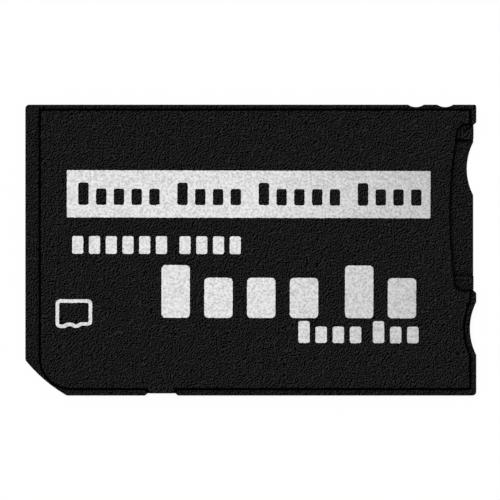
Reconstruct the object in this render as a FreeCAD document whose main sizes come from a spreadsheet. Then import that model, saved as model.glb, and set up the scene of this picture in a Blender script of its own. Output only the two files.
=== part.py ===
import FreeCAD, Part
import math
import os
from types import SimpleNamespace

import Sketcher
from FreeCAD import Vector

# Memory card adapter: a flat carrier card that takes a smaller card through a slot in its right end.
#
# The adapter lies with its label side up. X runs along its length, from the end with the contacts to the
# end with the slot, Y across it and Z up. The origin is on the underside, under the middle of the outline.

# Driving sizes in millimetres
SIZES = [
    ("body_length", 31.0, "overall length"),
    ("body_width", 20.0, "overall width"),
    ("body_height", 1.6, "overall thickness, to the top of the cover"),
    ("rim_height", 1.5, "height of the base's rim, a little below the cover"),
    ("cut_corner_length", 2.85, "cut corner, measured along the length"),
    ("cut_corner_width", 2.44, "cut corner, measured along the width"),
    ("cut_corner_bow", 10.1, "radius of the slightly bowed cut corner"),
    ("corner_round", 0.28, "radius of the other corners of the outline"),
    ("corner_round_slot", 0.15, "radius of the corner between the slot and the nicks"),
    ("edge_round", 0.12, "rounding of the base's outer edges"),
    ("cover_thickness", 0.35, "thickness of the cover"),
    ("cover_edge_round", 0.08, "rounding of the cover's upper edges"),
    ("cover_corner_round", 2.15, "radius of the cover's corner beside the cut corner"),
    ("cover_small_round", 0.15, "radius of the cover's other corners"),
    ("seam_gap", 0.16, "width of the groove between cover and base"),
    ("seam_depth", 0.45, "depth of that groove below the rim"),
    ("margin_left", 1.0, "outline to the middle of the groove, contact end"),
    ("margin_right", 0.4, "outline to the middle of the groove, slot end"),
    ("margin_upper", 0.35, "outline to the middle of the groove, +Y side"),
    ("margin_lower", 0.44, "outline to the middle of the groove, -Y side"),
    ("thumb_radius", 4.0, "radius of the two thumb hollows in the slot end"),
    ("thumb_depth", 0.44, "depth of the thumb hollows"),
    ("thumb_upper", 5.6, "distance of the upper thumb hollow from the middle line"),
    ("thumb_lower", 5.39, "distance of the lower thumb hollow from the middle line"),
    ("thumb_margin", 0.38, "lower thumb hollow to the middle of the groove"),
    ("nick_radius", 0.97, "radius of the two small nicks in the +Y edge"),
    ("nick_depth", 0.17, "depth of the nicks"),
    ("nick_place", 2.14, "distance of the last nick from the slot end"),
    ("nick_pitch", 2.01, "distance between the nicks"),
    ("lock_place", 9.36, "distance of the lock notch's middle from the contact end"),
    ("lock_length", 2.29, "length of the lock notch at the edge"),
    ("lock_depth", 0.15, "depth of the lock notch"),
    ("lock_slope", 0.19, "length of the lock notch's slanted ends"),
    ("tab_slope", 0.24, "length of the slanted ends of the cover's tab"),
    ("card_length", 15.0, "length of the small card that goes in"),
    ("card_width", 11.0, "width of the small card"),
    ("card_front_width", 9.7, "width of the small card's front part"),
    ("card_front_length", 5.7, "length of the small card's front part"),
    ("card_thickness", 0.7, "thickness of the small card"),
    ("card_play", 0.27, "clearance on each side of the small card"),
    ("card_headroom", 0.05, "clearance over the small card"),
    ("card_place", 2.92, "distance of the slot's middle line from the adapter's"),
    ("card_reach", 0.06, "how far the small card's back stays behind the slot's edge"),
    ("mouth_step", 0.19, "how far the slot's floor stays behind the outline"),
    ("mouth_slope", 0.2, "length of the slanted ends of that step"),
    ("recess_depth", 1.48, "deepest point of the cover's cut-away, from the groove"),
    ("recess_bow", 32.8, "radius of the cut-away's long edge"),
    ("recess_place", 2.42, "distance of that edge's middle from the adapter's middle line"),
    ("recess_bevel", 0.38, "bevel at the corners of the cut-away"),
    ("lip_width", 1.06, "width of the lips that hold the small card's corners"),
    ("lip_drop", 0.15, "how far the lips lie below the cover's top"),
    ("board_seat", 0.4, "height of the board's underside, and depth of the contact grooves"),
    ("board_thickness", 0.3, "thickness of the board"),
    ("board_gap", 0.1, "clearance round the board"),
    ("ledge_left", 0.37, "ledge that carries the cover at the contact end"),
    ("ledge_side", 0.55, "ledge that carries the cover along the sides"),
    ("board_bevel", 2.0, "cut corner of the board and its pocket"),
    ("post_diameter", 0.9, "diameter of the base's two posts for the board"),
    ("post_height", 0.45, "height of the posts over the board's underside"),
    ("post_gap", 0.05, "clearance of the board's holes round the posts, and of the sockets"),
    ("post_inset", 0.9, "distance of the posts from the board's long edges"),
    ("post_setback", 4.6, "distance of the upper post from the board's contact end"),
    ("contact_count", 10, "number of contact grooves in the underside"),
    ("contact_pitch", 1.5, "distance between the contact grooves"),
    ("contact_place", 0.95, "distance of the contacts' middle line from the adapter's"),
    ("groove_width", 1.2, "width of a contact groove"),
    ("groove_length", 4.3, "length of a contact groove"),
    ("land_width", 1.1, "width of a contact land"),
    ("land_length", 2.5, "length of a contact land"),
    ("land_thickness", 0.05, "thickness of a contact land"),
    ("land_round", 0.18, "radius of a contact land's corners"),
    ("land_setback", 0.2, "distance of a contact land from the board's end"),
    ("leaf_count", 8, "number of leaf contacts under the small card"),
    ("leaf_pitch", 1.1, "distance between the leaf contacts"),
    ("leaf_width", 0.4, "width of a leaf contact"),
    ("leaf_tip_width", 0.28, "width of a leaf contact at its tip"),
    ("leaf_thickness", 0.1, "thickness of a leaf contact"),
    ("leaf_foot", 1.35, "length of a leaf contact's foot on the board"),
    ("leaf_crest", 2.45, "distance of the contact point from the small card's front"),
    ("leaf_tip", 0.5, "length of the tip past the contact point"),
    ("leaf_press", 0.14, "how far the free contact point stands over the slot's floor"),
    ("leaf_clear", 0.1, "clearance round a leaf contact in the carrier"),
    ("leaf_drop", 0.35, "length in which a leaf contact drops from the board into the carrier"),
    ("leaf_rise", 0.65, "distance of the leaf contact's rise from the small card's front"),
    ("leaf_tip_fall", 0.22, "how far the tip falls past the contact point"),
    ("leaf_bend", 0.14, "radius of the leaf contact's bends"),
    ("leaf_crest_bend", 0.35, "radius at the contact point"),
    ("carrier_floor", 0.18, "thickness of the base under the contact carrier"),
    ("carrier_sink", 0.06, "how far the carrier's comb lies below the slot's floor"),
    ("carrier_bar", 1.05, "length of the carrier's bar, which stops the small card"),
    ("carrier_comb", 3.2, "length of the openings in the carrier's comb"),
    ("carrier_end", 0.5, "length of the comb's closing bar"),
    ("carrier_gap", 0.05, "clearance round the carrier"),
    ("carrier_slot", 0.55, "width of the carrier's openings"),
    ("bay_wall", 0.95, "thickness of the wall beside the small card"),
    ("hollow_floor", 0.5, "thickness of the base under its moulded hollows"),
    ("hollow_margin", 2.6, "second moulded hollow to the middle of the groove, slot end"),
    ("hollow_length", 5.2, "length of the second moulded hollow; the first fills what is left"),
    ("hollow_rib", 1.3, "width of the rib between the moulded hollows"),
    ("hollow_round", 0.3, "radius of the hollows' corners"),
    ("brace_width", 0.5, "width of the cover's ribs that hold the board down"),
    ("brace_length", 7.5, "length of those ribs"),
    ("brace_inset", 1.9, "distance of those ribs from the board's long edges"),
    ("brace_gap", 0.03, "clearance of those ribs over the board"),
    ("peg_diameter", 0.8, "diameter of the cover's pegs"),
    ("peg_length", 0.45, "length of the cover's pegs"),
    ("peg_setback", 1.2, "distance of the corner peg from the second hollow"),
    ("peg_inset", 0.8, "distance of the corner peg from the ledge along the side"),
    ("socket_depth", 0.55, "depth of the base's sockets for them"),
    ("chip_size", 4.4, "side of the controller chip"),
    ("chip_height", 0.42, "height of the controller chip"),
    ("chip_bevel", 0.05, "bevel of the controller chip's upper edges"),
    ("small_length", 1.0, "length of a chip component"),
    ("small_width", 0.5, "width of a chip component"),
    ("small_height", 0.35, "height of a chip component"),
    ("small_cap", 0.22, "length of a chip component's end caps"),
    ("small_cap_rise", 0.02, "how far the end caps stand out"),
    ("small_gap", 0.45, "distance of the chip components from what they stand beside"),
    ("small_inset", 0.5, "distance of the capacitors' ends from the chip's corners"),
]

# How far apart two places may be that count as one
TOLERANCE = 1e-6


class Size:
    """A number together with the expression that works it out from the sheet."""

    def __init__(self, number, text):
        self.number = number
        self.text = text

    def __add__(self, other):
        other = as_size(other)
        return Size(self.number + other.number, f"({self.text} + {other.text})")

    def __sub__(self, other):
        other = as_size(other)
        return Size(self.number - other.number, f"({self.text} - {other.text})")

    def __mul__(self, other):
        other = as_size(other)
        return Size(self.number * other.number, f"({self.text} * {other.text})")

    def __truediv__(self, other):
        other = as_size(other)
        return Size(self.number / other.number, f"({self.text} / {other.text})")

    def __neg__(self):
        return Size(-self.number, f"(-1 * {self.text})")

    def root(self):
        return Size(math.sqrt(self.number), f"sqrt({self.text})")


def as_size(value):
    return value if isinstance(value, Size) else Size(float(value), str(value))


doc = FreeCAD.newDocument("memory_card_adapter")
sheet = doc.addObject("Spreadsheet::Sheet", "Sizes")
for row, (alias, number, meaning) in enumerate(SIZES, start=1):
    sheet.set(f"A{row}", alias)
    sheet.set(f"B{row}", str(number))
    sheet.setAlias(f"B{row}", alias)
    sheet.set(f"C{row}", meaning)
doc.recompute()

s = SimpleNamespace(**{alias: Size(number, f"Sizes.{alias}") for alias, number, meaning in SIZES})

# Places that several pieces share, worked out from the sizes
left = -s.body_length / 2
right = s.body_length / 2
lower = -s.body_width / 2
upper = s.body_width / 2
seat = s.body_height - s.cover_thickness
board_top = s.board_seat + s.board_thickness
bay_floor = seat - s.card_headroom - s.card_thickness

# The seam's middle line, and the slot for the small card
seam_left = left + s.margin_left
seam_right = right - s.margin_right
seam_lower = lower + s.margin_lower
seam_upper = upper - s.margin_upper
mouth_edge = right - s.mouth_step
mouth_half = s.card_width / 2 + s.card_play
mouth_lower = s.card_place - mouth_half
mouth_upper = s.card_place + mouth_half
card_front = mouth_edge - s.card_reach - s.card_length
card_side = s.card_place - s.card_width / 2
bay_step = mouth_lower + s.card_front_width + s.card_play * 2

# The contact carrier, the board and the pocket that holds both
carrier_left = card_front - s.carrier_bar
carrier_right = card_front + s.carrier_comb + s.carrier_end
pocket_left = seam_left - s.seam_gap / 2 + s.ledge_left
pocket_right = carrier_left - s.carrier_gap
pocket_lower = seam_lower - s.seam_gap / 2 + s.ledge_side
pocket_upper = seam_upper + s.seam_gap / 2 - s.ledge_side
board_left = pocket_left + s.board_gap
board_right = pocket_right - s.board_gap
board_lower = pocket_lower + s.board_gap
board_upper = pocket_upper - s.board_gap
feet_left = board_right - s.leaf_foot
lock_middle = left + s.lock_place
lock_half = s.lock_length / 2 - s.lock_slope
lock_floor = lower + s.lock_depth
cover_offset = -s.seam_gap / 2
opening_offset = s.seam_gap / 2

# What locates the pieces on each other: posts for the board, pegs and sockets for the cover
POSTS = [
    (board_left + s.post_setback, board_upper - s.post_inset),
    (board_right - s.post_inset * 2, board_lower + s.post_inset),
]
hollow_top = mouth_lower - s.bay_wall
hollow_1_left = pocket_right + s.bay_wall
hollow_2_right = seam_right - s.hollow_margin
hollow_2_left = hollow_2_right - s.hollow_length
hollow_1_right = hollow_2_left - s.hollow_rib
PEGS = [
    (hollow_1_right + s.hollow_rib / 2, (pocket_lower + hollow_top) / 2),
    (hollow_2_right + s.peg_setback, pocket_lower + s.peg_inset),
    (card_front + s.card_front_length / 2, (bay_step + pocket_upper) / 2),
]


def at(x, y, round_by=None, bow=None, dent=None):
    """A corner of an outline. bow and dent are radii of an arc that leads on to the next corner."""
    return SimpleNamespace(x=as_size(x), y=as_size(y), round_by=round_by, bow=bow, dent=dent)


def origin_feature(body, role):
    return next(item for item in body.Origin.OriginFeatures if item.Role == role)


def new_body(label):
    body = doc.addObject("PartDesign::Body", label)
    body.Label = label
    return body


def new_sketch(body, name, height=None, role="XY_Plane"):
    sketch = body.newObject("Sketcher::SketchObject", name)
    sketch.AttachmentSupport = [(origin_feature(body, role), "")]
    sketch.MapMode = "FlatFace"
    if height is not None:
        sketch.setExpression("AttachmentOffset.Base.z", as_size(height).text)
    return sketch


def bind(sketch, kind, *references, value):
    """Adds a constraint whose value follows the sheet."""
    index = sketch.addConstraint(Sketcher.Constraint(kind, *references, value.number))
    sketch.setExpression(f"Constraints[{index}]", value.text)


def bind_point(sketch, geometry, position, corner):
    bind(sketch, "DistanceX", -1, 1, geometry, position, value=corner.x)
    bind(sketch, "DistanceY", -1, 1, geometry, position, value=corner.y)


def arc_between(start, end, radius, leftward):
    """The short arc of a radius from start to end, with its centre on the left or on the right of the way."""
    middle = (start + end) / 2
    half = (end - start).Length / 2
    way = (end - start).normalize()
    side = Vector(-way.y, way.x, 0) if leftward else Vector(way.y, -way.x, 0)
    centre = middle + side * math.sqrt(radius ** 2 - half ** 2)
    first, last = (start, end) if leftward else (end, start)
    start_angle = math.atan2(first.y - centre.y, first.x - centre.x)
    end_angle = math.atan2(last.y - centre.y, last.x - centre.x)
    if end_angle < start_angle:
        end_angle += 2 * math.pi
    return Part.ArcOfCircle(Part.Circle(centre, Vector(0, 0, 1), radius), start_angle, end_angle)


def rounding(before, corner, after, radius):
    """Where a tangent arc leaves and joins the two sides of a corner, and whether the way turns left."""
    back = (before - corner).normalize()
    ahead = (after - corner).normalize()
    half_angle = back.getAngle(ahead) / 2
    reach = radius / math.tan(half_angle)
    return corner + back * reach, corner + ahead * reach, back.cross(ahead).z < 0


def draw(sketch, corners, closed=True):
    """Draws lines and arcs through the corners, and ties each to the sheet."""
    points = [Vector(corner.x.number, corner.y.number, 0) for corner in corners]
    count = len(corners)
    arrive = list(points)
    leave = list(points)
    turns_left = {}
    for index, corner in enumerate(corners):
        if corner.round_by:
            before, after = points[index - 1], points[(index + 1) % count]
            sides = rounding(before, points[index], after, corner.round_by.number)
            arrive[index], leave[index], turns_left[index] = sides

    edges = []
    for index in range(count if closed else count - 1):
        corner = corners[index]
        start, end = leave[index], arrive[(index + 1) % count]
        radius = corner.bow or corner.dent
        if radius:
            arc = arc_between(start, end, radius.number, leftward=bool(corner.bow))
            geometry = sketch.addGeometry(arc, False)
            bind(sketch, "Radius", geometry, value=radius)
            edges.append((geometry, 1, 2) if corner.bow else (geometry, 2, 1))
        else:
            geometry = sketch.addGeometry(Part.LineSegment(start, end), False)
            edges.append((geometry, 1, 2))

    for index, corner in enumerate(corners):
        if not closed and index == 0:
            bind_point(sketch, edges[0][0], edges[0][1], corner)
            continue
        arriving, _, arriving_end = edges[index - 1]
        if not closed and index == count - 1:
            bind_point(sketch, arriving, arriving_end, corner)
            continue
        leaving, leaving_start, _ = edges[index]
        if index not in turns_left:
            joint = Sketcher.Constraint("Coincident", arriving, arriving_end, leaving, leaving_start)
            sketch.addConstraint(joint)
            bind_point(sketch, leaving, leaving_start, corner)
            continue
        tip = sketch.addGeometry(Part.Point(points[index]), True)
        bind_point(sketch, tip, 1, corner)
        sketch.addConstraint(Sketcher.Constraint("PointOnObject", tip, 1, arriving))
        sketch.addConstraint(Sketcher.Constraint("PointOnObject", tip, 1, leaving))
        arc = arc_between(arrive[index], leave[index], corner.round_by.number, leftward=turns_left[index])
        bend = sketch.addGeometry(arc, False)
        bend_start, bend_end = (1, 2) if turns_left[index] else (2, 1)
        sketch.addConstraint(Sketcher.Constraint("Tangent", arriving, arriving_end, bend, bend_start))
        sketch.addConstraint(Sketcher.Constraint("Tangent", bend, bend_end, leaving, leaving_start))
        bind(sketch, "Radius", bend, value=corner.round_by)
    return sketch


def draw_circle(sketch, x, y, radius):
    centre = at(x, y)
    circle = Part.Circle(Vector(centre.x.number, centre.y.number, 0), Vector(0, 0, 1), radius.number)
    geometry = sketch.addGeometry(circle, False)
    bind_point(sketch, geometry, 3, centre)
    bind(sketch, "Radius", geometry, value=radius)
    return sketch


def rectangle(x_low, x_high, y_low, y_high, round_by=None):
    return [
        at(x_low, y_low, round_by),
        at(x_high, y_low, round_by),
        at(x_high, y_high, round_by),
        at(x_low, y_high, round_by),
    ]


def pad(body, name, sketch, length, downward=False):
    feature = body.newObject("PartDesign::Pad", name)
    feature.Profile = sketch
    feature.setExpression("Length", length.text)
    feature.Reversed = downward
    doc.recompute()
    return feature


def pocket(body, name, sketch, depth, upward=False):
    """Cuts down from the sketch, or up from it. A cut that meets no material is an error."""
    before = body.Shape.Volume
    feature = body.newObject("PartDesign::Pocket", name)
    feature.Profile = sketch
    feature.setExpression("Length", depth.text)
    feature.Reversed = upward
    doc.recompute()
    if body.Shape.isNull() or body.Shape.Volume >= before:
        raise RuntimeError(f"{name} cuts nothing from {body.Label}")
    return feature


def row_of(body, name, feature, pitch, count):
    """Repeats a feature in a row across the adapter."""
    pattern = body.newObject("PartDesign::LinearPattern", name)
    pattern.Originals = [feature]
    pattern.Direction = (origin_feature(body, "Y_Axis"), [""])
    pattern.setExpression("Length", (pitch * (count - 1)).text)
    pattern.setExpression("Occurrences", count.text)
    body.Tip = pattern
    doc.recompute()
    return pattern


def level_face(shape, height):
    """The name of the largest flat face that lies level at a height."""
    level = [
        (face.Area, f"Face{index}")
        for index, face in enumerate(shape.Faces, start=1)
        if face.BoundBox.ZLength < TOLERANCE and abs(face.BoundBox.ZMin - height) < TOLERANCE
    ]
    return max(level)[1]


def soften(body, name, kind, heights, amount):
    """Rounds or bevels every edge of the level faces at the heights."""
    base = body.Tip
    feature = body.newObject(f"PartDesign::{kind}", name)
    feature.Base = (base, [level_face(base.Shape, height.number) for height in heights])
    feature.setExpression("Radius" if kind == "Fillet" else "Size", amount.text)
    doc.recompute()
    return feature


def round_uprights(body, name, corners, radius):
    """Rounds the upright edges that stand on the given corners."""
    base = body.Tip
    names = []
    for index, edge in enumerate(base.Shape.Edges, start=1):
        box = edge.BoundBox
        if box.XLength > TOLERANCE or box.YLength > TOLERANCE:
            continue
        places = [math.hypot(box.XMin - corner.x.number, box.YMin - corner.y.number) for corner in corners]
        if min(places) < TOLERANCE:
            names.append(f"Edge{index}")
    feature = body.newObject("PartDesign::Fillet", name)
    feature.Base = (base, names)
    feature.setExpression("Radius", radius.text)
    doc.recompute()
    return feature


# Outlines that the base and the cover share

def seam_outline(offset, tab_end, tab_low, tab_slope, ahead=()):
    """The cover's outline, moved out by offset from the seam's middle line, with its tab at the lock.

    ahead holds more corners for the slot's stretch of the right side."""
    x_low, x_high = seam_left - offset, seam_right + offset
    y_low, y_high = seam_lower - offset, seam_upper + offset
    thumb_centre = right - s.thumb_depth + s.thumb_radius
    thumb_bend = s.thumb_radius + s.thumb_margin - offset
    thumb_half = (thumb_bend * thumb_bend - (thumb_centre - x_high) * (thumb_centre - x_high)).root()
    return [
        at(x_low, y_low, s.cover_corner_round + offset),
        at(lock_middle - tab_end - tab_slope, y_low),
        at(lock_middle - tab_end, tab_low),
        at(lock_middle + tab_end, tab_low),
        at(lock_middle + tab_end + tab_slope, y_low),
        at(x_high, y_low, s.cover_small_round),
        at(x_high, -s.thumb_lower - thumb_half, dent=thumb_bend),
        at(x_high, -s.thumb_lower + thumb_half),
        *ahead,
        at(x_high, y_high, s.cover_small_round),
        at(x_low, y_high, s.cover_small_round),
    ]


def opening_outline():
    return seam_outline(opening_offset, lock_half, lock_floor - opening_offset, s.seam_gap)


def cover_outline(ahead=()):
    return seam_outline(cover_offset, lock_half - s.tab_slope, lock_floor, s.tab_slope, ahead)


def base_shell():
    """The moulded lower shell."""
    body = new_body("base_shell")
    corners = [
        at(left + s.cut_corner_length, lower),
        at(right, lower),
        at(right, upper),
        at(left, upper),
        at(left, lower + s.cut_corner_width, bow=s.cut_corner_bow),
    ]
    pad(body, "base_block", draw(new_sketch(body, "base_outline"), corners), s.rim_height)
    slot_corner = corners.pop(2)
    round_uprights(body, "outline_corners", corners, s.corner_round)
    round_uprights(body, "slot_corner", [slot_corner], s.corner_round_slot)
    soften(body, "outer_edges", "Fillet", [as_size(0), s.rim_height], s.edge_round)

    # Hollows for the thumb and nicks, right through
    grips = new_sketch(body, "grip_circles")
    thumb_middle = s.thumb_radius - s.thumb_depth
    draw_circle(grips, mouth_edge + thumb_middle, s.thumb_upper, s.thumb_radius)
    draw_circle(grips, right + thumb_middle, -s.thumb_lower, s.thumb_radius)
    pocket(body, "thumb_hollows", grips, s.rim_height, upward=True)
    nicks = new_sketch(body, "nick_circles")
    nick_height = upper - s.nick_depth + s.nick_radius
    draw_circle(nicks, right - s.nick_place, nick_height, s.nick_radius)
    draw_circle(nicks, right - s.nick_place - s.nick_pitch, nick_height, s.nick_radius)
    pocket(body, "edge_nicks", nicks, s.rim_height, upward=True)

    step_half = mouth_half - s.mouth_slope / 2
    step = new_sketch(body, "mouth_step_outline")
    draw(step, [
        at(mouth_edge, s.card_place - step_half),
        at(right + s.mouth_slope, s.card_place - step_half - s.mouth_slope * 2),
        at(right + s.mouth_slope, s.card_place + step_half + s.mouth_slope * 2),
        at(mouth_edge, s.card_place + step_half),
    ])
    pocket(body, "mouth_step", step, s.rim_height, upward=True)

    lock = new_sketch(body, "lock_outline")
    lock_run = s.lock_slope / s.lock_depth
    lock_mouth = lock_half + (s.lock_depth + s.lock_slope) * lock_run
    draw(lock, [
        at(lock_middle - lock_mouth, lower - s.lock_slope),
        at(lock_middle + lock_mouth, lower - s.lock_slope),
        at(lock_middle + lock_half, lock_floor),
        at(lock_middle - lock_half, lock_floor),
    ])
    pocket(body, "lock_notch", lock, s.rim_height, upward=True)

    # The opening that the cover drops into, and the pockets below it
    opening = new_sketch(body, "opening_outline", s.rim_height)
    draw(opening, opening_outline())
    pocket(body, "cover_opening", opening, s.rim_height - seat)
    groove = new_sketch(body, "seam_outlines", s.rim_height)
    draw(groove, opening_outline())
    draw(groove, cover_outline())
    pocket(body, "seam_groove", groove, s.seam_depth)

    nest = new_sketch(body, "board_pocket_outline", seat)
    draw(nest, board_outline(pocket_left, pocket_right, pocket_lower, pocket_upper))
    pocket(body, "board_pocket", nest, seat - s.board_seat)

    bay = new_sketch(body, "bay_outline", s.rim_height)
    draw(bay, [
        at(pocket_right, mouth_lower),
        at(right + s.mouth_step, mouth_lower),
        at(right + s.mouth_step, mouth_upper),
        at(card_front + s.card_front_length + mouth_upper - bay_step, mouth_upper),
        at(card_front + s.card_front_length, bay_step),
        at(pocket_right, bay_step),
    ])
    pocket(body, "card_bay", bay, s.rim_height - bay_floor)
    pit = new_sketch(body, "carrier_pit_outline", bay_floor)
    draw(pit, rectangle(pocket_right, carrier_right + s.carrier_gap, mouth_lower, bay_step))
    pocket(body, "carrier_pit", pit, bay_floor - s.carrier_floor)

    hollows = new_sketch(body, "hollow_outlines", seat)
    draw(hollows, rectangle(hollow_1_left, hollow_1_right, pocket_lower, hollow_top, s.hollow_round))
    draw(hollows, rectangle(hollow_2_left, hollow_2_right, pocket_lower, hollow_top, s.hollow_round))
    pocket(body, "moulded_hollows", hollows, seat - s.hollow_floor)

    sockets = new_sketch(body, "socket_circles", seat)
    for x, y in PEGS:
        draw_circle(sockets, x, y, s.peg_diameter / 2 + s.post_gap)
    pocket(body, "peg_sockets", sockets, s.socket_depth)

    posts = new_sketch(body, "post_circles", s.board_seat)
    for x, y in POSTS:
        draw_circle(posts, x, y, s.post_diameter / 2)
    pad(body, "board_posts", posts, s.post_height)

    channel = new_sketch(body, "contact_groove_outline")
    first = s.contact_place - s.contact_pitch * (s.contact_count - 1) / 2
    draw(channel, rectangle(
        left - s.margin_left, left + s.groove_length,
        first - s.groove_width / 2, first + s.groove_width / 2,
    ))
    cut = pocket(body, "contact_groove", channel, s.board_seat, upward=True)
    row_of(body, "contact_grooves", cut, s.contact_pitch, s.contact_count)
    return body


def board_outline(x_low, x_high, y_low, y_high):
    return [
        at(x_low + s.board_bevel, y_low),
        at(x_high, y_low),
        at(x_high, y_high),
        at(x_low, y_high),
        at(x_low, y_low + s.board_bevel),
    ]


def recess_edge(y):
    """How far right the cut-away's bowed edge lies at a distance from the middle line."""
    across = y - s.recess_place
    return seam_right - s.recess_depth + s.recess_bow - (s.recess_bow * s.recess_bow - across * across).root()


def top_cover():
    """The moulded upper shell, let into the base."""
    body = new_body("top_cover")
    outline = new_sketch(body, "cover_outline", seat)
    lip_left = seam_right + cover_offset
    draw(outline, cover_outline(ahead=(
        at(lip_left, mouth_lower + s.seam_gap),
        at(mouth_edge, mouth_lower + s.seam_gap),
        at(mouth_edge, mouth_upper - s.seam_gap),
        at(lip_left, mouth_upper - s.seam_gap),
    )))
    pad(body, "cover_plate", outline, s.cover_thickness)

    # The cut-away at the slot: open between the lips, and stepped down on them
    lip_upper = mouth_upper - s.lip_width
    lip_lower = mouth_lower + s.lip_width
    mouth = new_sketch(body, "mouth_outline", seat)
    draw(mouth, [
        at(recess_edge(lip_upper), lip_upper, bow=s.recess_bow),
        at(recess_edge(lip_lower), lip_lower),
        at(right, lip_lower),
        at(right, lip_upper),
    ])
    pocket(body, "mouth_cut", mouth, s.cover_thickness, upward=True)
    end_upper = mouth_upper - s.recess_bevel
    end_lower = mouth_lower + s.recess_bevel
    recess = new_sketch(body, "recess_outline", s.body_height)
    draw(recess, [
        at(recess_edge(end_upper), end_upper, bow=s.recess_bow),
        at(recess_edge(end_lower), end_lower),
        at(recess_edge(end_lower) + s.recess_bevel, mouth_lower),
        at(right, mouth_lower),
        at(right, mouth_upper),
        at(recess_edge(end_upper) + s.recess_bevel, mouth_upper),
    ])
    pocket(body, "lip_step", recess, s.lip_drop)
    soften(body, "upper_edges", "Fillet", [s.body_height], s.cover_edge_round)

    # Ribs that hold the board down, and pegs for the base's sockets
    braces = new_sketch(body, "brace_outlines", seat)
    brace_left = (board_left + board_right - s.brace_length) / 2
    brace_right = brace_left + s.brace_length
    for middle in (board_upper - s.brace_inset, board_lower + s.brace_inset):
        half = s.brace_width / 2
        draw(braces, rectangle(brace_left, brace_right, middle - half, middle + half))
    pad(body, "board_braces", braces, seat - board_top - s.brace_gap, downward=True)
    pegs = new_sketch(body, "peg_circles", seat)
    for x, y in PEGS:
        draw_circle(pegs, x, y, s.peg_diameter / 2)
    pad(body, "pegs", pegs, s.peg_length, downward=True)
    return body


def circuit_board():
    """The thin board, located by two posts of the base."""
    body = new_body("circuit_board")
    outline = new_sketch(body, "board_edge", s.board_seat)
    draw(outline, board_outline(board_left, board_right, board_lower, board_upper))
    pad(body, "board_blank", outline, s.board_thickness)
    holes = new_sketch(body, "hole_circles", board_top)
    for x, y in POSTS:
        draw_circle(holes, x, y, s.post_diameter / 2 + s.post_gap)
    pocket(body, "post_holes", holes, s.board_thickness)
    return body


def host_contact(index):
    """One gold land on the board's underside, seen in its groove."""
    body = new_body(f"host_contact_{index + 1:02d}")
    y = s.contact_place + s.contact_pitch * (as_size(index) - (s.contact_count - 1) / 2)
    x_low = board_left + s.land_setback
    outline = new_sketch(body, "land_outline", s.board_seat - s.land_thickness)
    half = s.land_width / 2
    draw(outline, rectangle(x_low, x_low + s.land_length, y - half, y + half, s.land_round))
    pad(body, "land", outline, s.land_thickness)
    return body


def leaf_place(index):
    """The middle line of a leaf contact. The row stands in the middle of the small card's front part."""
    first = card_side + (s.card_front_width - s.leaf_pitch * (s.leaf_count - 1)) / 2
    return first + s.leaf_pitch * index


def card_contact(index):
    """One leaf contact, bent from strip: a foot on the board, and an arm that rises under the small card."""
    body = new_body(f"card_contact_{index + 1}")
    body.setExpression("Placement.Base.y", leaf_place(index).text)
    half = s.leaf_thickness / 2
    run = s.carrier_floor + s.leaf_clear + half
    crest = card_front + s.leaf_crest
    crest_height = bay_floor + s.leaf_press - half
    tip = crest + s.leaf_tip
    path = new_sketch(body, "leaf_path", role="XZ_Plane")
    draw(path, [
        at(feet_left, board_top + half),
        at(carrier_left, board_top + half, s.leaf_bend),
        at(carrier_left + s.leaf_drop, run, s.leaf_bend),
        at(card_front + s.leaf_rise, run, s.leaf_crest_bend),
        at(crest, crest_height, s.leaf_crest_bend),
        at(tip, crest_height - s.leaf_tip_fall),
    ], closed=False)
    section = new_sketch(body, "leaf_section", feet_left, role="YZ_Plane")
    wide = s.leaf_width / 2
    draw(section, rectangle(-wide, wide, board_top, board_top + s.leaf_thickness))
    strip = body.newObject("PartDesign::AdditivePipe", "leaf_strip")
    strip.Profile = section
    strip.Spine = (path, [])
    doc.recompute()

    # The arm narrows towards its tip
    narrow = s.leaf_tip_width / 2
    taper = new_sketch(body, "taper_outline", board_top)
    start = card_front + s.leaf_rise
    past = tip + s.leaf_width
    for side in (1, -1):
        draw(taper, [
            at(start, wide * side),
            at(past, narrow * side),
            at(past, wide * side * 2),
            at(start, wide * side * 2),
        ])
    pocket(body, "arm_taper", taper, board_top - s.carrier_floor)
    return body


def contact_carrier():
    """The moulded comb round the leaf contacts, with the bar that stops the small card."""
    body = new_body("contact_carrier")
    y_low = mouth_lower + s.carrier_gap
    y_high = bay_step - s.carrier_gap
    comb = new_sketch(body, "comb_outline", s.carrier_floor)
    draw(comb, rectangle(carrier_left, carrier_right, y_low, y_high))
    pad(body, "comb_plate", comb, bay_floor - s.carrier_sink - s.carrier_floor)
    bar = new_sketch(body, "bar_outline", s.carrier_floor)
    draw(bar, rectangle(carrier_left, card_front, y_low, y_high))
    pad(body, "stop_bar", bar, seat - s.carrier_gap - s.carrier_floor)
    slot = new_sketch(body, "slot_outline", s.carrier_floor)
    middle = leaf_place(0)
    draw(slot, rectangle(
        carrier_left - s.carrier_gap, card_front + s.carrier_comb,
        middle - s.carrier_slot / 2, middle + s.carrier_slot / 2,
    ))
    height = board_top + s.leaf_thickness + s.leaf_clear - s.carrier_floor
    cut = pocket(body, "leaf_slot", slot, height, upward=True)
    row_of(body, "leaf_slots", cut, s.leaf_pitch, s.leaf_count)
    return body


# The chip stands behind the row of resistors, and that row behind the feet of the leaf contacts
resistor_place = feet_left - s.small_gap - s.small_length / 2
chip_right = feet_left - s.small_gap * 2 - s.small_length
chip_left = chip_right - s.chip_size
chip_lower = s.contact_place - s.chip_size / 2
chip_upper = s.contact_place + s.chip_size / 2


def controller_chip():
    """The thin controller chip in its moulded package."""
    body = new_body("controller_chip")
    outline = new_sketch(body, "chip_outline", board_top)
    draw(outline, rectangle(chip_left, chip_right, chip_lower, chip_upper))
    pad(body, "chip_block", outline, s.chip_height)
    soften(body, "chip_edges", "Chamfer", [board_top + s.chip_height], s.chip_bevel)
    return body


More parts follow.
